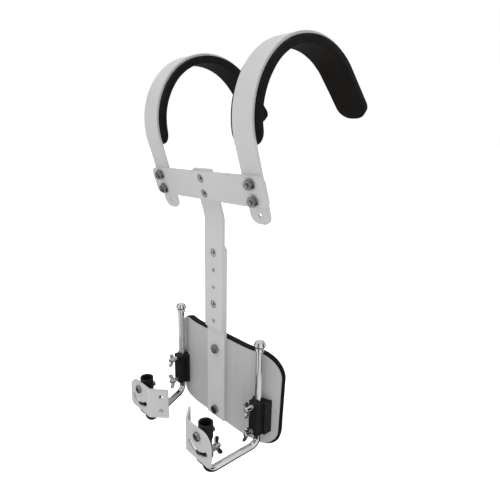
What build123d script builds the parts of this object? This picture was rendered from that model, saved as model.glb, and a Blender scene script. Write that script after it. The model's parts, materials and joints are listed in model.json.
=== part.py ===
"""Marching drum carrier: shoulder harness, belly plate and two swivelling J-rods with drum brackets.

Millimetres. +X is the wearer's left, +Y points back towards the wearer, +Z is up. The origin is the
centre of the flat part of the belly pad's rear face, where the carrier bears on the wearer.
"""
import os
from math import cos, radians, sin, sqrt, tan

from build123d import *

os.makedirs("parts", exist_ok=True)

# ---------------------------------------------------------------- driving dimensions
BAR_W = 38.0            # width of every flat aluminium bar
BAR_T = 4.5             # thickness of every flat aluminium bar
HOLE_PITCH = 25.4       # height adjustment step of the chest bar
LEAN = 18.0             # forward lean of the upper chest bar, crossbar and strap roots
SIDES = (("left", 1), ("right", -1))

PLATE_H = 136.0         # belly plate
PLATE_HALF_W = 110.0
PLATE_TAPER = 3.5       # each side is this much narrower at the bottom
PLATE_T = 3.0
PLATE_FLAT = 45.0       # half width of the flat centre
WRAP_R = 137.0          # front radius of the wings that wrap round the wearer
PAD_T = 10.0            # belly pad
PAD_OVER_SIDE = 4.0     # pad past the plate, at each side, at the top and at the bottom
PAD_OVER_TOP = 1.8
PAD_OVER_BOTTOM = 2.5

CROSS_L = 226.0         # crossbar
CROSS_H = 39.0
CROSS_Z = 289.3         # height of its centre
BOLT_GAP = 21.0         # distance between the two bolts of a pair
CHEST_TOP = 2.0         # chest bar above the crossbar's top edge

STRAP_X = 92.0          # centre line of each shoulder strap
STRAP_W = 32.0
STRAP_T = 3.2
FRONT_R = 93.0          # outer radius over the front of the shoulder
BACK_R = 107.0          # outer radius over its back
ARC_JOIN = 102.7        # angle above the horizontal where the two radii meet
STRAP_AXIS_Z = 372.2    # height of the front radius's centre
STRAP_BACK = 70.0       # straight part down the back
STRAP_TAIL = 43.0       # strap below the crossbar's centre
BACK_SLOPE = 45.0
SHOULDER_PAD_T = 9.5
SHOULDER_PAD_W = 43.0
SHOULDER_PAD_X = 91.0   # centre line, a little inboard of the strap's

ROD_D = 9.5             # J-rods
ROD_X = 88.0
ROD_BEND = 12.5
ROD_REACH = 80.0
ROD_REAR_Z = -63.0      # axis of the lower run where it leaves the upright
ROD_FRONT_Z = -80.0     # and where it turns up into the sleeve
KNOB_Z = 78.0           # underside of the top knob
TOE_IN = 12.0           # rest swivel of each J-rod towards the centre

BLOCK_W = 24.0          # clamp blocks, at their base
BLOCK_NOSE_W = 17.0     # narrower part round the rod
BLOCK_H = 48.0
BLOCK_Z = -20.0
BLOCK_FRONT = 10.5      # from the rod axis to the block's front face
WING_Z = 19.0           # the two wing screws above and below the block's centre

SLEEVE_TOP = -3.6       # bracket sleeves
SLEEVE_BOTTOM = -62.0
CUP_DEPTH = 10.4
SLEEVE_R = 8.2
BAND_Z = -48.0
SET_SCREW_Z = -18.0
BOSS_FRONT = 10.3       # from the sleeve axis to the boss face

DRUM_PLATE_T = 3.0      # bent plates that carry the drum
DRUM_PLATE_H = 46.0
DRUM_PLATE_Z = -29.5
DRUM_PLATE_OUT = 25.0   # from the pivot to the outer end
DRUM_PLATE_IN = 26.0    # from the pivot to the fold
DRUM_WING = 29.0        # wing past the fold
DRUM_FOLD = 45.0
DRUM_HOLE_GAP = 22.0
PIVOT_Z = -17.5
SLOT_R = 24.0           # arc slot radius about the pivot
SLOT_SWEEP = 88.0

FIT = 0.08              # running fit, radial
SCREW_R = 3.0           # M6 threads
SCREW_HOLE_R = 3.2
SINK = 1.0              # flat-head screws sit this far below the face
HEAD_R = 6.0            # flat heads in the crossbar and in the chest bar
HEAD_GAP = 0.2

# ---------------------------------------------------------------- derived positions
PLATE_FRONT = -(PAD_T + PLATE_T)
REAR_BAR_FRONT = PLATE_FRONT - BAR_T
CHEST_FRONT = REAR_BAR_FRONT - BAR_T
ROD_R = ROD_D / 2
ROD_Y = CHEST_FRONT + 6.0
JOINT_Z = (118.7, 118.7 + 3 * HOLE_PITCH)
SPARE_Z = [118.7 + HOLE_PITCH * step for step in (-1, 1, 2)]
PLATE_BOLT_Z = (47.6, 47.6 - 4 * HOLE_PITCH)
BEND_Z = 245.0          # where the chest bar starts to lean
LEAN_S, LEAN_C = sin(radians(LEAN)), cos(radians(LEAN))


def lean_y(z):
    """Front face of the leaning bars at height z."""
    return CHEST_FRONT - (z - BEND_Z) * tan(radians(LEAN))


def wing_y(x):
    """Front face of the belly plate's wing at distance x from the centre."""
    return PLATE_FRONT + WRAP_R - sqrt(WRAP_R**2 - (abs(x) - PLATE_FLAT) ** 2)


# local z points forwards out of the crossbar, local y runs up it; its rear face is local z = 0
lean_plane = Plane(
    origin=(0, lean_y(CROSS_Z), CROSS_Z), x_dir=(1, 0, 0), z_dir=(0, -LEAN_C, -LEAN_S)
)
BOLT_SPOTS = [(s * STRAP_X, dy) for _, s in SIDES for dy in (-BOLT_GAP / 2, BOLT_GAP / 2)]
CENTRE_SPOTS = [(0, -BOLT_GAP / 2), (0, BOLT_GAP / 2)]
BLOCK_SCREW_SPOTS = [(s * ROD_X, BLOCK_Z + dz) for _, s in SIDES for dz in (-10, 10)]

# the shoulder arc is tangent to the leaning front line
strap_tangent_z = STRAP_AXIS_Z - FRONT_R * LEAN_S
STRAP_AXIS_Y = lean_y(strap_tangent_z) + FRONT_R * LEAN_C
BACK_AXIS = (
    STRAP_AXIS_Y + (FRONT_R - BACK_R) * cos(radians(ARC_JOIN)),
    STRAP_AXIS_Z + (FRONT_R - BACK_R) * sin(radians(ARC_JOIN)),
)
ROOT_LENGTH = (strap_tangent_z - CROSS_Z) / LEAN_C


def finish(builder, name):
    """Labels a finished sub-part and writes its STEP file."""
    builder.part.label = name
    export_step(builder.part, f"parts/{name}.step")


def hexagon(across_flats):
    """A hexagon by its across-flats size."""
    with BuildSketch() as shape:
        RegularPolygon(across_flats / 2, 6, major_radius=False)
    return shape.sketch_local


def wrap_band(front_y, front_radius, thickness):
    """Plan of a sheet with a flat centre and wings that sweep back on arcs."""
    reach = 33.0
    back_y = front_y + thickness
    back_radius = front_radius - thickness
    axis_y = front_y + front_radius
    s, c = sin(radians(reach)), cos(radians(reach))
    front_tip = (PLATE_FLAT + front_radius * s, axis_y - front_radius * c)
    back_tip = (PLATE_FLAT + back_radius * s, axis_y - back_radius * c)
    with BuildSketch() as band:
        with BuildLine():
            Line((0, front_y), (PLATE_FLAT, front_y))
            CenterArc((PLATE_FLAT, axis_y), front_radius, -90, reach)
            Line(front_tip, back_tip)
            CenterArc((PLATE_FLAT, axis_y), back_radius, reach - 90, -reach)
            Line((PLATE_FLAT, back_y), (0, back_y))
            Line((0, back_y), (0, front_y))
        make_face()
        mirror(about=Plane.YZ)
    return band.sketch_local


def wing_back_y(x):
    """Rear face of the belly plate's wing at distance x from the centre."""
    radius = WRAP_R - PLATE_T
    return PLATE_FRONT + WRAP_R - sqrt(radius**2 - (abs(x) - PLATE_FLAT) ** 2)


def plate_outline(side, top, bottom):
    """Front outline of the belly plate, wider at the top, grown past its edges."""
    top_x = PLATE_HALF_W + side
    bottom_x = top_x - PLATE_TAPER
    top_z, bottom_z = PLATE_H / 2 + top, -PLATE_H / 2 - bottom
    with BuildSketch() as outline:
        Polygon(
            (-bottom_x, bottom_z), (bottom_x, bottom_z), (top_x, top_z), (-top_x, top_z), align=None
        )
        fillet(outline.vertices().group_by(Axis.Y)[-1], 32 + side)
        fillet(outline.vertices().group_by(Axis.Y)[0], 24 + side / 4)
    return outline.sketch_local


def sunk_head(face, spots, rim, shaft, top, depth):
    """Flat-head shapes at spots of a face: a rim sunk below it, a cone and a shaft."""
    base = -SINK - 0.3
    with BuildPart() as shapes:
        for x, y in spots:
            spot = face.from_local_coords((x, y, 0))
            across = Plane(origin=spot, x_dir=face.x_dir, z_dir=face.x_dir.cross(face.z_dir))
            with BuildSketch(across):
                Polygon(
                    (0, top), (rim, top), (rim, base), (shaft, base - rim + shaft), (shaft, -depth),
                    (0, -depth), align=None,
                )
            revolve(axis=Axis(spot, face.z_dir))
    return shapes.part


def shoulder_band(depth, thickness, below, beyond):
    """Side profile of a band under the strap's outer face: root, two shoulder arcs and back run."""
    back_s, back_c = sin(radians(BACK_SLOPE)), cos(radians(BACK_SLOPE))
    front_sweep = 180 + LEAN - ARC_JOIN
    back_sweep = ARC_JOIN - (90 - BACK_SLOPE)
    faces = []
    with BuildSketch() as band:
        with BuildLine():
            for inset in (depth, depth + thickness):
                front = CenterArc(
                    (STRAP_AXIS_Y, STRAP_AXIS_Z), FRONT_R - inset, 180 + LEAN, -front_sweep
                )
                back = CenterArc(BACK_AXIS, BACK_R - inset, ARC_JOIN, -back_sweep)
                root_end = front @ 0 + Vector(LEAN_S, -LEAN_C) * below
                back_end = back @ 1 + Vector(back_c, -back_s) * beyond
                Line(root_end, front @ 0)
                Line(back @ 1, back_end)
                faces.append((root_end, back_end))
            Line(faces[0][0], faces[1][0])
            Line(faces[0][1], faces[1][1])
        make_face()
    return band.sketch_local


def edges_of_length(builder, length):
    """Straight edges of one length, from the front to the back."""
    return builder.edges().filter_by(lambda e: abs(e.length - length) < 0.01).sort_by(Axis.Y)


def side_plane(x):
    """Plane of constant x, with local x along +Y and local y up."""
    return Plane.YZ.offset(x)


def upright_plane(x, y):
    """Vertical plane through the upright axis at (x, y), local y up."""
    return Plane(origin=(x, y, 0), x_dir=(1, 0, 0), z_dir=(0, -1, 0))


def wing_screw(tip, outward, turn, shaft):
    """A wing screw: threaded shaft from its tip, slim tapered hub and two flared wings."""
    axis = Vector(*outward)
    radial = Vector(cos(radians(turn)), 0, sin(radians(turn)))
    hub = shaft + 8.5
    with BuildPart() as screw:
        with BuildSketch(Plane(origin=tip, x_dir=axis, z_dir=axis.cross(radial))):
            Polygon(
                (0, 0), (0, SCREW_R - 0.8), (0.8, SCREW_R), (shaft, SCREW_R), (shaft, 4.4),
                (hub - 1.5, 3.4), (hub, 2.2), (hub, 0), align=None,
            )
        revolve(axis=Axis(tip, outward))
        with BuildSketch(Plane(origin=tip, x_dir=axis, z_dir=axis.cross(radial))) as wings:
            Polygon(
                (shaft + 1, 0), (shaft + 1.4, 5), (shaft + 3.4, 11), (shaft + 8.6, 12),
                (shaft + 9, 8), (shaft + 6.4, 4.5), (shaft + 6, 0), align=None,
            )
            fillet(wings.vertices().filter_by_position(Axis.Y, 4.8, 20), 1.5)
            mirror(about=Plane.XZ)
        extrude(amount=1.3, both=True)
    return screw


# ---------------------------------------------------------------- belly plate and pad
with BuildPart() as belly_plate:
    with BuildSketch(Plane.XY.offset(-PLATE_H)):
        add(wrap_band(PLATE_FRONT, WRAP_R, PLATE_T))
    extrude(amount=2 * PLATE_H)
    with BuildSketch(Plane.XZ):
        add(plate_outline(0, 0, 0))
    extrude(amount=80, both=True, mode=Mode.INTERSECT)
    with BuildSketch(Plane.XZ):
        with Locations(*[(0, z) for z in PLATE_BOLT_Z], *BLOCK_SCREW_SPOTS):
            Circle(SCREW_HOLE_R)
    extrude(amount=60, both=True, mode=Mode.SUBTRACT)
finish(belly_plate, "belly_plate")

with BuildPart() as belly_pad:
    with BuildSketch(Plane.XY.offset(-PLATE_H)):
        add(wrap_band(PLATE_FRONT + PLATE_T, WRAP_R - PLATE_T, PAD_T))
    extrude(amount=2 * PLATE_H)
    with BuildSketch(Plane.XZ):
        add(plate_outline(PAD_OVER_SIDE, PAD_OVER_TOP, PAD_OVER_BOTTOM))
    extrude(amount=80, both=True, mode=Mode.INTERSECT)
    # blind pockets that clear the nuts and screw heads behind the plate
    with BuildSketch(Plane.XZ.offset(PAD_T)):
        with Locations(*[(0, z) for z in PLATE_BOLT_Z]):
            Circle(8.5)
    extrude(amount=-7, mode=Mode.SUBTRACT)
    with BuildSketch(Plane.XZ.offset(PAD_T)):
        with Locations(*BLOCK_SCREW_SPOTS):
            Circle(7)
    extrude(amount=-13, mode=Mode.SUBTRACT)
finish(belly_pad, "belly_pad")

# ---------------------------------------------------------------- chest bars
REAR_BAR_TOP = JOINT_Z[1] + 12
REAR_BAR_BOTTOM = -66.0
with BuildPart() as rear_bar:
    with BuildSketch(Plane.XZ.offset(-PLATE_FRONT)) as face:
        with Locations((0, (REAR_BAR_TOP + REAR_BAR_BOTTOM) / 2)):
            Rectangle(BAR_W, REAR_BAR_TOP - REAR_BAR_BOTTOM)
        chamfer(face.vertices().group_by(Axis.Y)[-1], 6)
        with Locations(*[(0, z) for z in (*PLATE_BOLT_Z, *JOINT_Z, *SPARE_Z)]):
            Circle(SCREW_HOLE_R, mode=Mode.SUBTRACT)
    extrude(amount=BAR_T)
finish(rear_bar, "rear_bar")

CHEST_BOTTOM = SPARE_Z[0] - 12
CHEST_FACE = Plane.XZ.offset(-CHEST_FRONT)
CHEST_SPOTS = [(0, z) for z in JOINT_Z]
with BuildPart() as chest_bar:
    top = CROSS_H / 2 + CHEST_TOP
    top_front = (lean_y(CROSS_Z) - top * LEAN_S, CROSS_Z + top * LEAN_C)
    top_back = (top_front[0] + BAR_T * LEAN_C, top_front[1] + BAR_T * LEAN_S)
    back_face = CHEST_FRONT + BAR_T
    back_bend = BEND_Z + BAR_T * tan(radians(LEAN / 2))
    with BuildSketch(side_plane(0)) as profile:
        with BuildLine():
            front = FilletPolyline(
                (CHEST_FRONT, CHEST_BOTTOM), (CHEST_FRONT, BEND_Z), top_front, radius=40
            )
            back = FilletPolyline(
                (back_face, CHEST_BOTTOM), (back_face, back_bend), top_back, radius=40 + BAR_T
            )
            Line(front @ 0, back @ 0)
            Line(front @ 1, back @ 1)
        make_face()
    extrude(amount=BAR_W / 2, both=True)
    fillet(edges_of_length(chest_bar, BAR_T), 3)
    with BuildSketch(Plane.XZ):
        with Locations(*[(0, z) for z in SPARE_Z]):
            Circle(SCREW_HOLE_R)
    extrude(amount=60, mode=Mode.SUBTRACT)
    add(
        sunk_head(CHEST_FACE, CHEST_SPOTS, HEAD_R + HEAD_GAP, SCREW_HOLE_R, 1, BAR_T + 1),
        mode=Mode.SUBTRACT,
    )
    with BuildSketch(lean_plane):
        with Locations(*CENTRE_SPOTS):
            Circle(SCREW_HOLE_R)
    extrude(amount=20, both=True, mode=Mode.SUBTRACT)
finish(chest_bar, "chest_bar")

CROSS_FACE = lean_plane.offset(BAR_T)
with BuildPart() as crossbar:
    with BuildSketch(lean_plane) as face:
        RectangleRounded(CROSS_L, CROSS_H, 9)
        with Locations(*BOLT_SPOTS):
            Circle(SCREW_HOLE_R, mode=Mode.SUBTRACT)
    extrude(amount=BAR_T)
    add(
        sunk_head(CROSS_FACE, CENTRE_SPOTS, HEAD_R + HEAD_GAP, SCREW_HOLE_R, 1, BAR_T + 1),
        mode=Mode.SUBTRACT,
    )
finish(crossbar, "crossbar")

# ---------------------------------------------------------------- shoulder straps and pads
for name, s in SIDES:
    with BuildPart() as strap:
        with BuildSketch(side_plane(s * STRAP_X)):
            add(shoulder_band(0, STRAP_T, ROOT_LENGTH + STRAP_TAIL, STRAP_BACK))
        extrude(amount=STRAP_W / 2, both=True)
        fillet(edges_of_length(strap, STRAP_T)[:2], 12)
        fillet(edges_of_length(strap, STRAP_T)[-2:], 15)
        with BuildSketch(lean_plane):
            with Locations(*BOLT_SPOTS):
                Circle(SCREW_HOLE_R)
            with Locations((s * STRAP_X, 12 - STRAP_TAIL)):
                Circle(SCREW_HOLE_R)
        extrude(amount=20, both=True, mode=Mode.SUBTRACT)
    finish(strap, f"shoulder_strap_{name}")

    with BuildPart() as shoulder_pad:
        with BuildSketch(side_plane(s * SHOULDER_PAD_X)):
            add(shoulder_band(STRAP_T + 0.2, SHOULDER_PAD_T, 7, STRAP_BACK + 3))
        extrude(amount=SHOULDER_PAD_W / 2, both=True)
        fillet(edges_of_length(shoulder_pad, SHOULDER_PAD_T)[:2], 18)
        fillet(edges_of_length(shoulder_pad, SHOULDER_PAD_T)[-2:], 19)
    finish(shoulder_pad, f"shoulder_pad_{name}")

# ---------------------------------------------------------------- harness fasteners
NUT_T = 5.0
WASHER_T = 1.4
with BuildPart() as strap_bolts:
    for spot in BOLT_SPOTS:
        with BuildSketch(lean_plane.offset(-STRAP_T)):
            with Locations(spot):
                Circle(6.5)
        extrude(amount=-3)
        with BuildSketch(lean_plane.offset(-STRAP_T)):
            with Locations(spot):
                Circle(SCREW_R)
        extrude(amount=STRAP_T + BAR_T + WASHER_T + NUT_T + 2.2)
    fillet(strap_bolts.faces().filter_by(lambda f: abs(f.area - 132.73) < 0.1).edges(), 2)
finish(strap_bolts, "strap_bolts")

with BuildPart() as strap_washers:
    with BuildSketch(lean_plane.offset(BAR_T)):
        with Locations(*BOLT_SPOTS):
            Circle(8)
            Circle(SCREW_R, mode=Mode.SUBTRACT)
    extrude(amount=WASHER_T)
finish(strap_washers, "strap_washers")

with BuildPart() as strap_nuts:
    with BuildSketch(lean_plane.offset(BAR_T + WASHER_T)):
        with Locations(*BOLT_SPOTS):
            add(hexagon(11))
            Circle(SCREW_R, mode=Mode.SUBTRACT)
    extrude(amount=NUT_T)
finish(strap_nuts, "strap_nuts")

with BuildPart() as crossbar_screws:
    add(sunk_head(CROSS_FACE, CENTRE_SPOTS, HEAD_R, SCREW_R, -SINK, 2 * BAR_T + NUT_T + 1))
    with BuildSketch(CROSS_FACE.offset(-SINK)):
        with Locations(*CENTRE_SPOTS):
            add(hexagon(4))
    extrude(amount=-2.2, mode=Mode.SUBTRACT)
finish(crossbar_screws, "crossbar_screws")

with BuildPart() as crossbar_nuts:
    with BuildSketch(lean_plane.offset(-BAR_T)):
        with Locations(*CENTRE_SPOTS):
            add(hexagon(10))
            Circle(SCREW_R, mode=Mode.SUBTRACT)
    extrude(amount=-NUT_T)
finish(crossbar_nuts, "crossbar_nuts")

with BuildPart() as chest_bolts:
    add(sunk_head(CHEST_FACE, CHEST_SPOTS, HEAD_R, SCREW_R, -SINK, 2 * BAR_T + NUT_T + 1.5))
    with BuildSketch(CHEST_FACE.offset(-SINK)):
        with Locations(*CHEST_SPOTS):
            add(hexagon(4))
    extrude(amount=-2, mode=Mode.SUBTRACT)
finish(chest_bolts, "chest_bolts")

with BuildPart() as chest_nuts:
    with BuildSketch(Plane.XZ.offset(-PLATE_FRONT)):
        with Locations(*CHEST_SPOTS):
            add(hexagon(10))
            Circle(SCREW_R, mode=Mode.SUBTRACT)
    extrude(amount=-NUT_T)
finish(chest_nuts, "chest_nuts")

with BuildPart() as plate_bolts:
    with BuildSketch(Plane.XZ.offset(-REAR_BAR_FRONT)):
        with Locations(*[(0, z) for z in PLATE_BOLT_Z]):
            add(hexagon(12))
    extrude(amount=4.5)
    with BuildSketch(Plane.XZ.offset(-REAR_BAR_FRONT)):
        with Locations(*[(0, z) for z in PLATE_BOLT_Z]):
            Circle(SCREW_R)
    extrude(amount=-(BAR_T + PLATE_T + NUT_T + 0.5))
finish(plate_bolts, "plate_bolts")

with BuildPart() as plate_nuts:
    with BuildSketch(Plane.XZ.offset(PAD_T)):
        with Locations(*[(0, z) for z in PLATE_BOLT_Z]):
            add(hexagon(11))
            Circle(SCREW_R, mode=Mode.SUBTRACT)
    extrude(amount=-NUT_T)
finish(plate_nuts, "plate_nuts")

# ---------------------------------------------------------------- clamp blocks
BLOCK_HEAD_R = 5.5
seat = wing_back_y(ROD_X + BLOCK_HEAD_R) + 0.1
with BuildPart() as block_screws:
    for x, z in BLOCK_SCREW_SPOTS:
        with BuildSketch(Plane.XZ.offset(-seat)):
            with Locations((x, z)):
                Circle(BLOCK_HEAD_R)
        extrude(amount=-2.6)
        with BuildSketch(Plane.XZ.offset(-seat)):
            with Locations((x, z)):
                Circle(SCREW_R)
        extrude(amount=seat - wing_y(ROD_X) + 4.5)
finish(block_screws, "block_screws")

for name, s in SIDES:
    base, nose = BLOCK_W / 2, BLOCK_NOSE_W / 2
    front_y, step_y = ROD_Y - BLOCK_FRONT, ROD_Y + 1.0
    with BuildPart() as block:
        with BuildSketch(Plane.XY.offset(BLOCK_Z - BLOCK_H / 2)) as plan:
            with BuildLine():
                Polyline(
                    (s * (ROD_X - base), wing_y(ROD_X - base)),
                    (s * (ROD_X - base), step_y),
                    (s * (ROD_X - nose), step_y),
                    (s * (ROD_X - nose), front_y),
                    (s * (ROD_X + nose), front_y),
                    (s * (ROD_X + nose), step_y),
                    (s * (ROD_X + base), step_y),
                    (s * (ROD_X + base), wing_y(ROD_X + base)),
                )
                ThreePointArc(
                    (s * (ROD_X + base), wing_y(ROD_X + base)),
                    (s * ROD_X, wing_y(ROD_X)),
                    (s * (ROD_X - base), wing_y(ROD_X - base)),
                )
            make_face()
            fillet(plan.vertices().group_by(Axis.Y)[0], 2.5)
        extrude(amount=BLOCK_H)
        with BuildSketch(Plane.XY):
            with Locations((s * ROD_X, ROD_Y)):
                Circle(ROD_R + FIT)
        extrude(amount=100, both=True, mode=Mode.SUBTRACT)
        with BuildSketch(Plane.XZ.offset(-ROD_Y)):
            with Locations((s * ROD_X, BLOCK_Z - WING_Z), (s * ROD_X, BLOCK_Z + WING_Z)):
                Circle(SCREW_R + FIT)
        extrude(amount=BLOCK_FRONT + 2, mode=Mode.SUBTRACT)
        with BuildSketch(Plane.XZ.offset(-wing_y(ROD_X) + 4.8)):
            with Locations(*BLOCK_SCREW_SPOTS):
                Circle(SCREW_R + FIT)
        extrude(amount=-12, mode=Mode.SUBTRACT)
    finish(block, f"clamp_block_{name}")

    for row, dz, turn in (("upper", WING_Z, 90 + s * 8), ("lower", -WING_Z, 90 - s * 14)):
        screw = wing_screw(
            (s * ROD_X, ROD_Y - ROD_R - 0.4, BLOCK_Z + dz), (0, -1, 0), turn, BLOCK_FRONT - ROD_R + 5.5
        )
        finish(screw, f"clamp_wing_{row}_{name}")

# ---------------------------------------------------------------- J-rods, sleeves and drum plates
ROD_TOP = KNOB_Z + 6.6
ROD_TIP = SLEEVE_TOP - CUP_DEPTH - 1
for name, s in SIDES:
    rod_xy = (s * ROD_X, ROD_Y)
    sleeve_x = s * (ROD_X - ROD_REACH * sin(radians(TOE_IN)))
    sleeve_y = ROD_Y - ROD_REACH * cos(radians(TOE_IN))

    with BuildPart() as knob:
        with BuildSketch(upright_plane(*rod_xy)) as profile:
            with BuildLine():
                Polyline(
                    (0, KNOB_Z + 7), (ROD_R + FIT, KNOB_Z + 7), (ROD_R + FIT, KNOB_Z), (6, KNOB_Z),
                    (6, KNOB_Z + 3.4), (5.4, KNOB_Z + 4.2), (6.4, KNOB_Z + 5.2),
                )
                Spline(
                    (6.4, KNOB_Z + 5.2), (7.8, KNOB_Z + 8.6), (6.2, KNOB_Z + 12.4), (0, KNOB_Z + 14.2),
                    tangents=[(1, 1), (-1, 0)],
                )
                Line((0, KNOB_Z + 14.2), (0, KNOB_Z + 7))
            make_face()
        revolve(axis=Axis((*rod_xy, 0), (0, 0, 1)))
    finish(knob, f"rod_knob_{name}")

    with BuildPart() as j_rod:
        with BuildLine() as path:
            FilletPolyline(
                (*rod_xy, ROD_TOP), (*rod_xy, ROD_REAR_Z), (sleeve_x, sleeve_y, ROD_FRONT_Z),
                (sleeve_x, sleeve_y, ROD_TIP), radius=ROD_BEND,
            )
        with BuildSketch(Plane(origin=(*rod_xy, ROD_TOP), x_dir=(1, 0, 0), z_dir=(0, 0, -1))):
            Circle(ROD_R)
        sweep(path=path.wires()[0])
    finish(j_rod, f"j_rod_{name}")

    with BuildPart() as sleeve:
        with BuildSketch(upright_plane(sleeve_x, sleeve_y)):
            Polygon(
                (ROD_R + FIT, SLEEVE_BOTTOM), (SLEEVE_R - 0.5, SLEEVE_BOTTOM), (SLEEVE_R, SLEEVE_BOTTOM + 2),
                (SLEEVE_R, -29), (9.8, -23.5), (9.9, SLEEVE_TOP + 1), (9.4, SLEEVE_TOP),
                (7.4, SLEEVE_TOP), (7.4, SLEEVE_TOP - CUP_DEPTH), (ROD_R + FIT, SLEEVE_TOP - CUP_DEPTH),
                align=None,
            )
        revolve(axis=Axis((sleeve_x, sleeve_y, 0), (0, 0, 1)))
        # flat boss that carries the drum plate
        with BuildSketch(Plane.XZ.offset(BOSS_FRONT - sleeve_y)):
            with Locations((sleeve_x, -34)):
                RectangleRounded(15, 50, 3)
        extrude(amount=-(BOSS_FRONT - 6))
        with BuildSketch(Plane.XZ.offset(BOSS_FRONT - sleeve_y)):
            with Locations((sleeve_x, PIVOT_Z)):
                Circle(SCREW_R)
            with Locations((sleeve_x, PIVOT_Z - SLOT_R)):
                Circle(2.5)
        extrude(amount=-(BOSS_FRONT - 5.4), mode=Mode.SUBTRACT)
        with BuildSketch(Plane.XZ.offset(-sleeve_y)):
            with Locations((sleeve_x, BAND_Z)):
                Circle(SCREW_R + FIT)
        extrude(amount=-20, mode=Mode.SUBTRACT)
        with BuildSketch(Plane.XZ.offset(-sleeve_y)):
            with Locations((sleeve_x, SET_SCREW_Z)):
                Circle(2)
        extrude(amount=-20, mode=Mode.SUBTRACT)
    finish(sleeve, f"sleeve_{name}")

    with BuildPart() as band:
        with BuildSketch(Plane.XY.offset(BAND_Z - 4.5)):
            with Locations((sleeve_x, sleeve_y)):
                Circle(10)
                Circle(SLEEVE_R, mode=Mode.SUBTRACT)
            with Locations((sleeve_x, sleeve_y - 10)):
                Rectangle(15.2, 15, mode=Mode.SUBTRACT)
        extrude(amount=9)
        with BuildSketch(Plane.XZ.offset(-sleeve_y - SLEEVE_R - 0.8)):
            with Locations((sleeve_x, BAND_Z)):
                Circle(4.5)
        extrude(amount=-4.2)
        with BuildSketch(Plane.XZ.offset(-sleeve_y)):
            with Locations((sleeve_x, BAND_Z)):
                Circle(SCREW_R + FIT)
        extrude(amount=-20, mode=Mode.SUBTRACT)
    finish(band, f"sleeve_band_{name}")

    screw = wing_screw((sleeve_x, sleeve_y + ROD_R + 0.4, BAND_Z), (0, 1, 0), 90 + s * 25, 10.5)
    finish(screw, f"sleeve_wing_{name}")

    with BuildPart() as set_screw:
        with BuildSketch(Plane.XZ.offset(-sleeve_y - ROD_R - 0.4)):
            with Locations((sleeve_x, SET_SCREW_Z)):
                Circle(2)
        extrude(amount=-6)
        with BuildSketch(Plane.XZ.offset(-sleeve_y - 10)):
            with Locations((sleeve_x, SET_SCREW_Z)):
                Circle(3.6)
        extrude(amount=-3.4)
        with BuildSketch(Plane.XZ.offset(-sleeve_y - 13.4)):
            with Locations((sleeve_x, SET_SCREW_Z)):
                Rectangle(8, 1)
        extrude(amount=1.2, mode=Mode.SUBTRACT)
    finish(set_screw, f"set_screw_{name}")

    plate_back = sleeve_y - BOSS_FRONT - 0.2
    plate_front = plate_back - DRUM_PLATE_T
    fs, fc = sin(radians(DRUM_FOLD)), cos(radians(DRUM_FOLD))
    fold_x = sleeve_x - s * DRUM_PLATE_IN
    outer_end = sleeve_x + s * DRUM_PLATE_OUT
    miter = DRUM_PLATE_T * tan(radians(DRUM_FOLD / 2))
    with BuildPart() as drum_plate:
        with BuildSketch(Plane.XY.offset(DRUM_PLATE_Z - DRUM_PLATE_H / 2)) as plan:
            wing_front = (fold_x - s * DRUM_WING * fc, plate_front + DRUM_WING * fs)
            wing_back = (wing_front[0] + s * DRUM_PLATE_T * fs, wing_front[1] + DRUM_PLATE_T * fc)
            with BuildLine():
                front = FilletPolyline(
                    (outer_end, plate_front), (fold_x, plate_front), wing_front, radius=6
                )
                back = FilletPolyline(
                    (outer_end, plate_back), (fold_x + s * miter, plate_back), wing_back,
                    radius=6 - DRUM_PLATE_T,
                )
                Line(front @ 0, back @ 0)
                Line(front @ 1, back @ 1)
            make_face()
        extrude(amount=DRUM_PLATE_H)
        end_edges = drum_plate.edges().filter_by(Axis.Y).group_by(Axis.X)[-1 if s > 0 else 0]
        fillet(end_edges.sort_by(Axis.Z)[-1], 18)
        end_edges = drum_plate.edges().filter_by(Axis.Y).group_by(Axis.X)[-1 if s > 0 else 0]
        fillet(end_edges.sort_by(Axis.Z)[0], 6)
        with BuildLine() as slot_path:
            CenterArc((sleeve_x, PIVOT_Z), SLOT_R, 270 - SLOT_SWEEP / 2, SLOT_SWEEP)
        with BuildSketch(Plane.XZ.offset(-plate_back)):
            with Locations((sleeve_x, PIVOT_Z)):
                Circle(4 + FIT)
            SlotArc(slot_path.edges()[0], 6.4)
        extrude(amount=DRUM_PLATE_T, mode=Mode.SUBTRACT)
        wing_plane = Plane(
            origin=(fold_x - s * DRUM_WING * 0.62 * fc, plate_front + DRUM_WING * 0.62 * fs, DRUM_PLATE_Z),
            x_dir=(s * fc, -fs, 0), z_dir=(-s * fs, -fc, 0),
        )
        with BuildSketch(wing_plane):
            with Locations((0, -DRUM_HOLE_GAP / 2), (0, DRUM_HOLE_GAP / 2)):
                Circle(3.25)
        extrude(amount=8, both=True, mode=Mode.SUBTRACT)
    finish(drum_plate, f"drum_plate_{name}")

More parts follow.
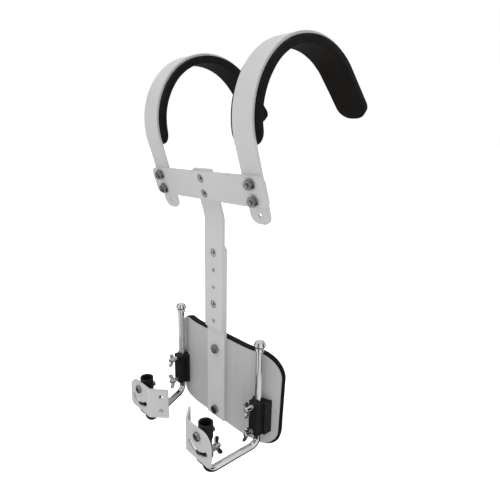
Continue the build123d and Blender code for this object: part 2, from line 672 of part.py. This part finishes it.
    with BuildPart() as pivot_bolt:
        with BuildSketch(Plane.XZ.offset(BOSS_FRONT - sleeve_y)):
            with Locations((sleeve_x, PIVOT_Z)):
                Circle(4)
        extrude(amount=DRUM_PLATE_T + 0.4)
        with BuildSketch(Plane.XZ.offset(BOSS_FRONT + DRUM_PLATE_T + 0.4 - sleeve_y)):
            with Locations((sleeve_x, PIVOT_Z)):
                Circle(6)
        extrude(amount=3.6)
        fillet(pivot_bolt.faces().sort_by(Axis.Y)[0].edges(), 1.6)
        with BuildSketch(Plane.XZ.offset(BOSS_FRONT - sleeve_y)):
            with Locations((sleeve_x, PIVOT_Z)):
                Circle(SCREW_R)
        extrude(amount=-(BOSS_FRONT - 5.4))
        with BuildSketch(Plane.XZ.offset(BOSS_FRONT + DRUM_PLATE_T + 4 - sleeve_y)):
            with Locations((sleeve_x, PIVOT_Z)):
                add(hexagon(5))
        extrude(amount=-2.4, mode=Mode.SUBTRACT)
    finish(pivot_bolt, f"pivot_bolt_{name}")

    with BuildPart() as tilt_pin:
        with BuildSketch(Plane.XZ.offset(5.4 - sleeve_y)):
            with Locations((sleeve_x, PIVOT_Z - SLOT_R)):
                Circle(2.5)
        extrude(amount=BOSS_FRONT + DRUM_PLATE_T - 5.4 + 0.6)
    finish(tilt_pin, f"tilt_pin_{name}")
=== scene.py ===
"""Looks of the marching drum carrier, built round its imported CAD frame.

Metres throughout. +X is the wearer's left, +Y points back towards the wearer, +Z is up.
"""
import json
from math import asin, ceil, cos, pi, radians, sin

import bmesh
import bpy
from mathutils import Matrix, Vector, noise


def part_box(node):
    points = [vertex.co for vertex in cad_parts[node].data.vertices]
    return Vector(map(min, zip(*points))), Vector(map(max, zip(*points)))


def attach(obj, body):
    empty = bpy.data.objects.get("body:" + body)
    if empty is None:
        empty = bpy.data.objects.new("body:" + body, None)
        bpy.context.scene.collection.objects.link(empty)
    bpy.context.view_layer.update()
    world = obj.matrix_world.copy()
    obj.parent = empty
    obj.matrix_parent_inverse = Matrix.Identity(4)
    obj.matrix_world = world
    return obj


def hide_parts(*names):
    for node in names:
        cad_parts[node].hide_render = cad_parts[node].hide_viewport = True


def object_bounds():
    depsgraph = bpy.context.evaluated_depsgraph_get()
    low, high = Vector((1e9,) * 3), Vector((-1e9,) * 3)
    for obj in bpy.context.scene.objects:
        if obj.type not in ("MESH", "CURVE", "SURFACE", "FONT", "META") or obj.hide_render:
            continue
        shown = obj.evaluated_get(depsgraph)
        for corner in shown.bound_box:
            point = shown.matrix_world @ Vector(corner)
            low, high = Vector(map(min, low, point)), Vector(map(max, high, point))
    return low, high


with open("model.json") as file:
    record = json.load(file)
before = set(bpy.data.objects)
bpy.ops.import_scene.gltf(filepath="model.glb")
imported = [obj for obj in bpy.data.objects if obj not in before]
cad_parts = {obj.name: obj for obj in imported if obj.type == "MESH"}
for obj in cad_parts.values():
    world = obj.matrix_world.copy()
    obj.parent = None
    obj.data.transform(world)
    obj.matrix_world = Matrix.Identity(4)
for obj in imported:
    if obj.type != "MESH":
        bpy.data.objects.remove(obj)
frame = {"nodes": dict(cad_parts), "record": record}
cad_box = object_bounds()
MM = 0.001
SIDES = ("left", "right")
WHITE = (1, 1, 1, 1)

# ---------------------------------------------------------------- node-tree helpers
# cosine between a face's own normal and the rounded one, where the edge mask is 0 and where 1
EDGE_STARTS, EDGE_FULL = 0.985, 0.86


def fill_socket(links, socket, value):
    """Links a node's output to a socket, or sets a plain value on it."""
    if isinstance(value, bpy.types.NodeSocket):
        links.new(value, socket)
    else:
        socket.default_value = value


class Tree:
    """A material's node tree, with short calls for adding and linking nodes."""

    def __init__(self, name):
        self.material = bpy.data.materials.new(name)
        self.material.use_nodes = True
        self.nodes = self.material.node_tree.nodes
        self.links = self.material.node_tree.links
        self.shader = self.nodes["Principled BSDF"]
        self.coords = self.nodes.new("ShaderNodeTexCoord").outputs["Object"]

    def add(self, kind, inputs=(), **settings):
        """Adds a node. inputs maps socket names or numbers to values or to other nodes' outputs."""
        made = self.nodes.new("ShaderNode" + kind)
        for key, value in settings.items():
            setattr(made, key, value)
        for key, value in dict(inputs).items():
            fill_socket(self.links, made.inputs[key], value)
        return made

    def noise(self, scale, detail=3.0, roughness=0.5, stretch=None):
        """A noise pattern in object space, with features of about 1 / scale metres."""
        where = self.coords
        if stretch:
            where = self.add("Mapping", {0: where, "Scale": stretch}).outputs[0]
        inputs = {"Vector": where, "Scale": scale, "Detail": detail, "Roughness": roughness}
        return self.add("TexNoise", inputs).outputs["Fac"]

    def span(self, value, low, high, to_low, to_high):
        """Maps low..high of a pattern to to_low..to_high, clamped."""
        inputs = {0: value, 1: low, 2: high, 3: to_low, 4: to_high}
        return self.add("MapRange", inputs).outputs[0]

    def clouds(self, scale, detail):
        """Soft patches from 0 to 1."""
        return self.span(self.noise(scale, detail), 0.3, 0.7, 0, 1)

    def math(self, operation, first, second):
        """One arithmetic step."""
        return self.add("Math", {0: first, 1: second}, operation=operation).outputs[0]

    def mix(self, factor, first, second):
        """Mixes two colours."""
        made = self.add("Mix", data_type="RGBA")
        for socket, value in ((0, factor), (6, first), (7, second)):
            fill_socket(self.links, made.inputs[socket], value)
        return made.outputs[2]

    def soft_edges(self, radius):
        """(rounded normal, mask that is 1 on sharp edges) from a bevel of that radius."""
        rounded = self.add("Bevel", {"Radius": radius}, samples=6).outputs[0]
        flat = self.add("NewGeometry").outputs["Normal"]
        inputs = {0: rounded, 1: flat}
        same = self.add("VectorMath", inputs, operation="DOT_PRODUCT").outputs["Value"]
        return rounded, self.span(same, EDGE_STARTS, EDGE_FULL, 0.0, 1.0)

    def bump(self, height, distance, strength, normal=None):
        """A bump from a height pattern, on top of another normal."""
        inputs = {"Height": height, "Distance": distance, "Strength": strength}
        if normal is not None:
            inputs["Normal"] = normal
        return self.add("Bump", inputs).outputs[0]

    def drive(self, **sockets):
        """Links patterns to the shader's sockets, or sets plain values on them."""
        for key, value in sockets.items():
            fill_socket(self.links, self.shader.inputs[key.replace("_", " ")], value)
        return self.material


def grey(level, warm=0.0):
    """A near-neutral colour, warmer or cooler by a few percent."""
    return (level * (1 + warm), level, level * (1 - warm), 1.0)


# ---------------------------------------------------------------- materials
FLOOR_GLOW = 0.72       # how bright the floor looks
FLOOR_LIGHT = 0.15      # and how much of that it throws on the object


def paint(name, level, warm=0.0, painted_reflection_streaks=0.0):
    """Satin powder coat: faint orange peel, dust, rubbed edges, and, where asked, darker vertical
    streaks that are painted reflection.
    """
    t = Tree(name)
    normal, edge = t.soft_edges(0.5 * MM)
    colour = t.mix(t.clouds(16, 4), grey(level * 0.955, warm), grey(level * 1.02, warm))
    if painted_reflection_streaks:
        # darker vertical streaks painted into the colour: a painted reflection of the studio in the
        # satin plate
        painted_reflection_lines = t.span(t.noise(1, 4, 0.6, stretch=(95, 95, 1.2)), 0.35, 0.65, 0, painted_reflection_streaks)
        colour = t.mix(painted_reflection_lines, colour, grey(level * 0.72, warm))
    specks = t.span(t.noise(420, 2), 0.66, 0.72, 0, 0.35)
    dust = t.math("MULTIPLY", specks, t.span(t.noise(9, 2), 0.45, 0.6, 0, 1))
    colour = t.mix(dust, colour, grey(level * 0.6, 0.04))
    rubbed = t.math("MULTIPLY", edge, t.span(t.noise(130, 3), 0.5, 0.62, 0.08, 0.75))
    colour = t.mix(rubbed, colour, grey(level * 0.63))
    peel = t.bump(t.noise(760, 2), 0.12 * MM, 0.14, normal)
    return t.drive(
        Base_Color=colour, Roughness=t.span(t.noise(34, 4), 0.3, 0.7, 0.3, 0.42), Normal=peel,
        Specular_IOR_Level=0.5, Coat_Weight=0.12, Coat_Roughness=0.22,
    )


def foam(name):
    """Black closed-cell foam with a tight skin on its cut edges."""
    t = Tree(name)
    cells = t.add("TexVoronoi", {"Vector": t.coords, "Scale": 1150}).outputs["Distance"]
    colour = t.mix(t.clouds(55, 5), grey(0.004), grey(0.0085, 0.03))
    dents = t.bump(t.noise(120, 4), 0.5 * MM, 0.25)
    skin = t.bump(cells, 0.18 * MM, 0.35, dents)
    return t.drive(
        Base_Color=colour, Roughness=t.span(t.noise(90, 3), 0.3, 0.7, 0.62, 0.8), Normal=skin,
        Specular_IOR_Level=0.14,
    )


def pad_fabric(name):
    """Knitted facing of the pads: brown-black, with fine ribs."""
    t = Tree(name)
    ribs = t.add(
        "TexWave", {"Vector": t.coords, "Scale": 230, "Distortion": 1.2, "Detail": 2},
        bands_direction="X",
    ).outputs["Fac"]
    loops = t.noise(1500, 2)
    cloud = t.clouds(28, 4)
    colour = t.mix(cloud, grey(0.0075, 0.16), grey(0.014, 0.13))
    colour = t.mix(t.span(ribs, 0.2, 0.8, 0.0, 0.45), colour, grey(0.005, 0.1))
    weave = t.bump(ribs, 0.25 * MM, 0.45, t.bump(loops, 0.2 * MM, 0.4))
    return t.drive(
        Base_Color=colour, Roughness=t.span(cloud, 0, 1, 0.78, 0.92), Normal=weave,
        Specular_IOR_Level=0.12,
        Sheen_Weight=0.03, Sheen_Roughness=0.42, Sheen_Tint=(0.8, 0.68, 0.6, 1),
    )


def moulded_plastic(name):
    """Black moulded nylon: fine spark texture, edges polished by handling, and a painted highlight
    that makes the edges lighter.
    """
    t = Tree(name)
    normal, edge = t.soft_edges(0.7 * MM)
    colour = t.mix(t.clouds(70, 4), grey(0.007, -0.02), grey(0.013, -0.02))
    # the edges' colour is painted lighter as a painted highlight; their lower roughness below is
    # the real polish
    painted_edge_highlight = t.math("MULTIPLY", edge, t.span(t.noise(260, 3), 0.4, 0.6, 0.2, 0.9))
    colour = t.mix(painted_edge_highlight, colour, grey(0.06))
    spark = t.bump(t.noise(1300, 3), 0.15 * MM, 0.3, normal)
    satin = t.span(t.noise(48, 4), 0.3, 0.7, 0.38, 0.5)
    rough = t.math("SUBTRACT", satin, t.math("MULTIPLY", edge, 0.12))
    return t.drive(Base_Color=colour, Roughness=rough, Normal=spark, Specular_IOR_Level=0.2)


def chrome(name):
    """Bright plating with faint polishing haze and fingerprints."""
    t = Tree(name)
    normal, edge = t.soft_edges(0.4 * MM)
    haze = t.span(t.noise(60, 5), 0.35, 0.75, 0.05, 0.13)
    wipe = t.span(t.noise(1, 3, 0.6, stretch=(900, 900, 40)), 0.4, 0.7, 0.0, 0.05)
    tarnish = t.span(t.noise(25, 3), 0.35, 0.65, 0, 1)
    colour = t.mix(tarnish, grey(0.6, -0.01), grey(0.68, -0.01))
    return t.drive(
        Base_Color=t.mix(edge, colour, grey(0.78)), Metallic=1.0,
        Roughness=t.math("ADD", haze, wipe),
        Normal=t.bump(t.noise(220, 2), 0.02 * MM, 0.12, normal),
    )


def zinc(name, level, rough):
    """Zinc plate: turned marks, dull patches and brighter edges."""
    t = Tree(name)
    normal, edge = t.soft_edges(0.35 * MM)
    colour = t.mix(t.clouds(210, 4), grey(level * 0.82, 0.02), grey(level * 1.12))
    colour = t.mix(edge, colour, grey(min(level * 1.35, 0.85)))
    marks = t.bump(t.noise(1900, 2), 0.05 * MM, 0.25, normal)
    return t.drive(
        Base_Color=colour, Metallic=1.0, Normal=marks,
        Roughness=t.span(t.noise(320, 3), 0.3, 0.7, rough, rough + 0.16),
    )


def pale_floor(name):
    """A plain pale studio floor, barely mottled, that glows to the eye more than it lights."""
    t = Tree(name)
    seen = t.add("LightPath").outputs["Is Camera Ray"]
    return t.drive(
        Base_Color=t.mix(t.clouds(1.5, 3), grey(0.9), grey(0.93)),
        Roughness=0.9, Specular_IOR_Level=0.1,
        Emission_Color=WHITE, Emission_Strength=t.span(seen, 0, 1, FLOOR_LIGHT, FLOOR_GLOW),
    )


def black_card(name):
    """Matt black paper."""
    t = Tree(name)
    colour = t.mix(t.clouds(2.0, 2), grey(0.01), grey(0.02))
    return t.drive(Base_Color=colour, Roughness=0.9)


SLOT_MATERIALS = {
    "bar_paint": paint("white_bar_paint", 0.69),
    # the plate's paint carries painted reflection streaks
    "plate_paint": paint("grey_plate_paint", 0.56, painted_reflection_streaks=0.2),
    "bracket_paint": paint("white_bracket_paint", 0.70, warm=-0.005),
    "foam": foam("black_foam"),
    "block_plastic": moulded_plastic("black_nylon"),
    "chrome": chrome("bright_chrome"),
    "fasteners": zinc("zinc_fasteners", 0.31, 0.17),
    "washers": zinc("zinc_washers", 0.5, 0.2),
    "band_steel": zinc("zinc_band", 0.42, 0.34),
}
SUNK_SCREWS = ("crossbar_screws", "chest_bolts")    # they are a brighter zinc
NODE_MATERIALS = dict.fromkeys(SUNK_SCREWS, zinc("zinc_sunk_screws", 0.45, 0.3))
PAD_FACING = pad_fabric("knitted_pad_facing")

for part in frame["record"]["subparts"]:
    shape = frame["nodes"][part["node"]].data
    finish = NODE_MATERIALS.get(part["node"], SLOT_MATERIALS[part["material_slot"]])
    shape.materials.clear()
    shape.materials.append(finish)


def place_object(name, data):
    """Puts a mesh, light or camera in the scene as an object of that name."""
    made = bpy.data.objects.new(name, data)
    bpy.context.scene.collection.objects.link(made)
    return made


# ---------------------------------------------------------------- foam pads
OUTLINE_STEP = 2.6 * MM
# across a pad's edge, from the glued face round to the padded face: (inset, depth) in mm,
# for a pad 10 mm thick
GLUED_SIDE = [
    (9.0, 0.0), (4.0, 0.0), (1.5, 0.0), (0.5, 0.3), (0.05, 1.1), (0.0, 2.6), (0.1, 5.0),
]
WORN_SIDE = [
    (0.0, 7.4), (0.1, 8.7), (0.55, 9.55), (1.3, 9.95), (2.3, 10.0), (2.9, 9.85), (3.3, 9.45),
    (3.7, 9.9), (4.8, 10.15), (7.5, 10.4), (11.0, 10.6), (15.0, 10.7),
]
FABRIC_FROM = len(GLUED_SIDE) + 3       # the ring where the facing starts
RIPPLE, RIPPLE_SCALE = 0.28 * MM, 38    # uneven foam over the padded face: height, waves per metre
EDGE_WAVE, EDGE_WAVE_SCALE = 0.25 * MM, 60      # and along the cut edge
EDGE_WAVE_FROM = 2 * MM                 # depth at which that wave is full


def rounded_outline(corners):
    """A closed outline through rounded corners, each (x, y, radius), at even steps."""
    points = []
    count = len(corners)
    for i, (x, y, r) in enumerate(corners):
        here = Vector((x, y))
        back = (Vector(corners[i - 1][:2]) - here).normalized()
        ahead = (Vector(corners[(i + 1) % count][:2]) - here).normalized()
        half = back.angle(ahead) / 2
        reach = r / abs(sin(half) / cos(half))
        middle = here + (back + ahead).normalized() * (r / sin(half))
        start = here + back * reach - middle
        end = here + ahead * reach - middle
        turn = start.angle_signed(end)
        steps = max(4, ceil(abs(turn) * r / OUTLINE_STEP))
        for k in range(steps + 1):
            angle = -turn * k / steps
            points.append(middle + Matrix.Rotation(angle, 2) @ start)
    filled = []
    for i, p in enumerate(points):
        q = points[(i + 1) % len(points)]
        cuts = max(1, round((q - p).length / OUTLINE_STEP))
        filled += [p.lerp(q, k / cuts) for k in range(cuts)]
    return filled


def weld(mesh):
    """Joins coincident points, drops the slivers they leave and turns the faces outwards."""
    shell = bmesh.new()
    shell.from_mesh(mesh)
    bmesh.ops.remove_doubles(shell, verts=shell.verts, dist=0.02 * MM)
    bmesh.ops.dissolve_degenerate(shell, edges=shell.edges, dist=0.01 * MM)
    bmesh.ops.recalc_face_normals(shell, faces=shell.faces)
    shell.to_mesh(mesh)
    shell.free()


def uneven(x, y, scale, seed):
    """A smooth height from -1 to 1 over a pad, the same in every run."""
    return noise.noise(Vector((x * scale, y * scale, seed)))


def pad_ring(outline, spine, place, inset, depth, thick, crown):
    """One ring of a pad's mesh: its outline drawn in by inset (None closes it) at a depth."""
    swell = max(0.0, depth - thick) * crown
    worn = min(1.0, depth / thick)
    ring = []
    for p in outline:
        middle = Vector((max(-spine, min(spine, p.x)), 0))
        out = p - middle
        keep = 0.0 if inset is None else max(0.0, 1 - inset / out.length)
        q = middle + out * keep
        ripple = uneven(q.x, q.y, RIPPLE_SCALE, 3.0) * RIPPLE
        wave = uneven(q.x, q.y, EDGE_WAVE_SCALE, 9.0) * EDGE_WAVE * keep
        q = q + out.normalized() * wave * min(1.0, depth / EDGE_WAVE_FROM)
        ring.append(place(q.x, q.y, min(depth, thick) + swell + ripple * worn))
    return ring


def pad(name, outline, spine, place, node, thick, crown):
    """A foam pad: rings of its outline, drawn in towards a spine, wrapped into place.

    spine is half the length of the middle line that the rings close on, and place takes
    (along, across, depth) to a point of the row frame. The pad stands for the CAD node.
    """
    profile = [(inset * MM, depth * thick / 10) for inset, depth in GLUED_SIDE + WORN_SIDE]
    rings = [(None, 0.0), *profile, (None, profile[-1][1] + 0.1 * MM)]
    count = len(outline)
    verts, faces, kinds = [], [], []
    for inset, depth in rings:
        verts += pad_ring(outline, spine, place, inset, depth, thick, crown)
    for k in range(len(rings) - 1):
        here, above = k * count, (k + 1) * count
        for i in range(count):
            j = (i + 1) % count
            faces.append((here + i, here + j, above + j, above + i))
            kinds.append(1 if k >= FABRIC_FROM else 0)
    mesh = bpy.data.meshes.new(name)
    mesh.from_pydata(verts, [], faces)
    mesh.materials.append(SLOT_MATERIALS["foam"])
    mesh.materials.append(PAD_FACING)
    mesh.polygons.foreach_set("material_index", kinds)
    mesh.polygons.foreach_set("use_smooth", [True] * len(faces))
    weld(mesh)
    made = place_object(name, mesh)
    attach(made, "carrier")
    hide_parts(node)


SHOULDER_DEPTH = 9.5 * MM
SHOULDER_WIDTH = 43 * MM
SHOULDER_CORNERS = (18 * MM, 19 * MM)   # front end, back end
LEAN = radians(18)
BACK_SLOPE = radians(45)
FRONT_RADIUS = 89.6 * MM    # strap-side face of the shoulder pads, over the front
BACK_RADIUS = 103.6 * MM    # and over the back
JOIN = radians(102.7)       # where the two radii meet
ROOT_RUN = 7 * MM
BACK_RUN = 73 * MM
FRONT_ARC = FRONT_RADIUS * (pi + LEAN - JOIN)
BACK_ARC = BACK_RADIUS * (JOIN - pi / 2 + BACK_SLOPE)
SHOULDER_LENGTH = ROOT_RUN + FRONT_ARC + BACK_ARC + BACK_RUN


def shoulder_place(side_x, low_y, high_z):
    """Wraps (along the strap, across it, depth) over the two shoulder arcs."""
    shift = FRONT_RADIUS - BACK_RADIUS
    front_y = low_y + FRONT_RADIUS
    back_z = high_z - BACK_RADIUS
    front_z = back_z - shift * sin(JOIN)
    back_y = front_y + shift * cos(JOIN)

    def place(along, across, depth):
        run = along + SHOULDER_LENGTH / 2 - ROOT_RUN
        if run < FRONT_ARC:
            on_arc = max(0.0, run)
            radius, angle = FRONT_RADIUS - depth, pi + LEAN - on_arc / FRONT_RADIUS
            axis_y, axis_z = front_y, front_z
        else:
            on_arc = min(BACK_ARC, run - FRONT_ARC)
            radius, angle = BACK_RADIUS - depth, JOIN - on_arc / BACK_RADIUS
            axis_y, axis_z = back_y, back_z
            on_arc += FRONT_ARC
        past = run - on_arc
        y = axis_y + radius * cos(angle) + past * sin(angle)
        z = axis_z + radius * sin(angle) - past * cos(angle)
        return (side_x + across, y, z)

    return place


half_length, half_width = SHOULDER_LENGTH / 2, SHOULDER_WIDTH / 2
front_corner, back_corner = SHOULDER_CORNERS
shoulder_outline = rounded_outline([
    (-half_length, -half_width, front_corner), (half_length, -half_width, back_corner),
    (half_length, half_width, back_corner), (-half_length, half_width, front_corner),
])
for side in SIDES:
    low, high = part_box(f"shoulder_pad_{side}")
    pad(f"shoulder_foam_{side}", shoulder_outline, half_length - half_width,
        shoulder_place((low.x + high.x) / 2, low.y, high.z), f"shoulder_pad_{side}",
        SHOULDER_DEPTH, 1.0)

BELLY_DEPTH = 10 * MM
BELLY_GAP = 0.1 * MM        # clear of the plate that it is glued to
FLAT_HALF = 45 * MM         # half width of the flat middle
WING_RADIUS = 134 * MM      # plate-side face of the belly pad's wings
BELLY_TAPER = 3.5 * MM      # each side is this much narrower at the bottom
BELLY_CORNERS = (25 * MM, 36 * MM)      # bottom, top
belly_low, belly_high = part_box("belly_pad")
belly_middle = (belly_high.z + belly_low.z) / 2


def belly_place(along, across, depth):
    """Wraps (sideways, up, depth) round the belly plate's rear face."""
    front_y = belly_low.y + BELLY_GAP
    past = max(0.0, abs(along) - FLAT_HALF)
    angle = asin(min(1.0, past / WING_RADIUS))
    reach = WING_RADIUS - depth
    x = min(abs(along), FLAT_HALF) + reach * sin(angle)
    y = front_y + WING_RADIUS - reach * cos(angle)
    return (x if along > 0 else -x, y, belly_middle + across)


half_w, half_h = belly_high.x, (belly_high.z - belly_low.z) / 2
bottom_corner, top_corner = BELLY_CORNERS
belly_outline = rounded_outline([
    (-half_w + BELLY_TAPER, -half_h, bottom_corner), (half_w - BELLY_TAPER, -half_h, bottom_corner),
    (half_w, half_h, top_corner), (-half_w, half_h, top_corner),
])
pad("belly_foam", belly_outline, half_w - half_h, belly_place, "belly_pad", BELLY_DEPTH, 0.5)

# ---------------------------------------------------------------- screw threads
SCREW_R = 3 * MM
THREAD_PITCH = 1.0 * MM
THREAD_STEPS = 28           # steps in one turn
THREAD_FADE = 10            # steps in which an end fades out
THREAD_SUNK = 0.05          # how deep a faded end lies in the screw, in mm
# the ridge's section: (out from the screw, along it) in mm
THREAD_SECTION = ((-0.25, -0.378), (0.22, 0.0), (-0.25, 0.378))
CLAMP_THREAD = 4.8 * MM     # bare thread in front of a clamp block
SLEEVE_THREAD = 1.8 * MM    # and behind a sleeve band
CLAMP_THREAD_GAP = 0.6 * MM     # from the block to the start of its thread
SLEEVE_THREAD_GAP = 0.5 * MM    # and from the band to the start of its own


def thread(name, body, start, along, length):
    """A helical ridge round a bare stretch of screw, fading out at both ends."""
    along = Vector(along)
    side = along.orthogonal().normalized()
    cross = along.cross(side)
    turns = length / THREAD_PITCH
    steps = ceil(turns * THREAD_STEPS)
    verts, faces = [], []
    for k in range(steps + 1):
        angle = 2 * pi * turns * k / steps
        taper = min(1.0, k / THREAD_FADE, (steps - k) / THREAD_FADE)
        out = side * cos(angle) + cross * sin(angle)
        for rise, shift in THREAD_SECTION:
            if rise > 0:
                rise = rise * taper - THREAD_SUNK * (1 - taper)
            place = Vector(start) + along * (length * k / steps + shift * MM)
            verts.append(place + out * (SCREW_R + rise * MM))
    for k in range(steps):
        for i in range(3):
            j = (i + 1) % 3
            faces.append((k * 3 + i, k * 3 + j, k * 3 + 3 + j, k * 3 + 3 + i))
    faces += [(0, 1, 2), (steps * 3 + 2, steps * 3 + 1, steps * 3)]
    mesh = bpy.data.meshes.new(name)
    mesh.from_pydata(verts, [], faces)
    mesh.materials.append(SLOT_MATERIALS["chrome"])
    weld(mesh)
    made = place_object(name, mesh)
    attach(made, body)


def box_middle(node):
    """The middle of a node's box."""
    low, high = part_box(node)
    return (low + high) / 2


for side in SIDES:
    block_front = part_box(f"clamp_block_{side}")[0].y
    rod_x = box_middle(f"rod_knob_{side}").x
    for row in ("upper", "lower"):
        wing = f"clamp_wing_{row}_{side}"
        start = (rod_x, block_front - CLAMP_THREAD_GAP, box_middle(wing).z)
        thread(f"clamp_thread_{row}_{side}", wing, start, (0, -1, 0), CLAMP_THREAD)
    band, wing = f"sleeve_band_{side}", f"sleeve_wing_{side}"
    start = (box_middle(band).x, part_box(band)[1].y + SLEEVE_THREAD_GAP, box_middle(wing).z)
    thread(f"sleeve_thread_{side}", wing, start, (0, 1, 0), SLEEVE_THREAD)

# ---------------------------------------------------------------- studio
centre = (cad_box[0] + cad_box[1]) / 2
FLOOR_HALF = 25
FLOOR_DROP = 0.16           # floor below the object, which hangs as in the photograph


def flat_mesh(name, half_x, half_y, z, material):
    """A rectangle of that half size."""
    mesh = bpy.data.meshes.new(name)
    signs = ((-1, -1), (1, -1), (1, 1), (-1, 1))
    corners = [(sx * half_x, sy * half_y, z) for sx, sy in signs]
    mesh.from_pydata(corners, [], [(0, 1, 2, 3)])
    mesh.materials.append(material)
    return mesh


floor_z = cad_box[0].z - FLOOR_DROP
floor_mesh = flat_mesh("floor", FLOOR_HALF, FLOOR_HALF, floor_z, pale_floor("pale_floor"))
place_object("floor", floor_mesh)


def aim(thing, target):
    """Turns a light or a card to face a point."""
    thing.rotation_euler = (Vector(target) - thing.location).to_track_quat("-Z", "Y").to_euler()


def softbox(name, where, size, watts):
    """A large area light that faces the object."""
    lamp = bpy.data.lights.new(name, "AREA")
    lamp.shape = "RECTANGLE"
    lamp.size, lamp.size_y = size
    lamp.energy = watts
    made = place_object(name, lamp)
    made.location = centre + Vector(where)
    aim(made, centre)


softbox("key_softbox", (-0.5, -0.9, 2.0), (0.9, 0.9), 7)
softbox("fill_softbox", (1.7, -0.6, 0.5), (1.0, 1.6), 1.2)
softbox("rear_softbox", (0.6, 1.6, 1.2), (1.4, 1.4), 2.5)


def dark_card(name, where, size, lies_flat=False):
    """A black card that only reflections see, for the dark bands in chrome."""
    card = place_object(name, flat_mesh(name, size[0] / 2, size[1] / 2, 0, black_card(name)))
    card.location = centre + Vector(where)
    if not lies_flat:
        aim(card, centre)
    card.visible_camera = False
    card.visible_diffuse = False
    card.visible_shadow = False


dark_card("dark_card_front", (0.18, -0.49, 0.0), (0.2, 0.82))
dark_card("dark_card_right", (0.48, 0.19, 0.0), (0.26, 0.82))
dark_card("dark_card_behind", (-0.52, -0.05, 0.0), (0.46, 0.82))
dark_card("dark_card_beyond", (-0.05, 0.52, 0.0), (0.46, 0.82))
dark_card("dark_card_below", (-0.13, 0.08, -0.42), (0.9, 0.9), lies_flat=True)

SKY_HEIGHTS = (-0.4, 0.9)   # the sky lights the object with a ramp between these heights
SKY_LIGHT = (0.30, 0.80)    # and these strengths
SKY_SEEN = 1.0              # seen directly it is plain white
SKY_REFLECTED = 0.85        # and in polished surfaces a plain bright grey

world = bpy.data.worlds.new("studio")
world.use_nodes = True
bpy.context.scene.world = world
sky = world.node_tree.nodes
wires = world.node_tree.links


def sky_node(kind, inputs=()):
    """Adds a node to the sky and returns its outputs. inputs maps socket numbers to values."""
    made = sky.new("ShaderNode" + kind)
    for number, value in dict(inputs).items():
        fill_socket(wires, made.inputs[number], value)
    return made.outputs


direction = sky_node("TexCoord")["Generated"]
height = sky_node("SeparateXYZ", {0: direction})["Z"]
ramp = {0: height, 1: SKY_HEIGHTS[0], 2: SKY_HEIGHTS[1], 3: SKY_LIGHT[0], 4: SKY_LIGHT[1]}
lit = sky_node("MapRange", ramp)[0]
ray = sky_node("LightPath")
seen = sky_node("Mix", {0: ray["Is Camera Ray"], 2: lit, 3: SKY_SEEN})[0]
reflected = sky_node("Mix", {0: ray["Is Glossy Ray"], 2: seen, 3: SKY_REFLECTED})[0]
fill_socket(wires, sky["Background"].inputs["Strength"], reflected)
sky["Background"].inputs["Color"].default_value = WHITE

# ---------------------------------------------------------------- camera
CAMERA_AT = (0.4546, -0.4003, 0.3490)
CAMERA_YAW = radians(50.1)
CAMERA_DROP = radians(14.9)
lens = bpy.data.cameras.new("camera")
lens.lens = 31.75
lens.sensor_width = 36
lens.shift_x = 0.0714
lens.shift_y = 0.0098
lens.clip_start = 0.01
lens.clip_end = 100
camera = place_object("camera", lens)
camera.location = CAMERA_AT
camera.rotation_euler = (pi / 2 - CAMERA_DROP, 0, CAMERA_YAW)
bpy.context.scene.camera = camera
bpy.context.scene.view_settings.view_transform = "Standard"
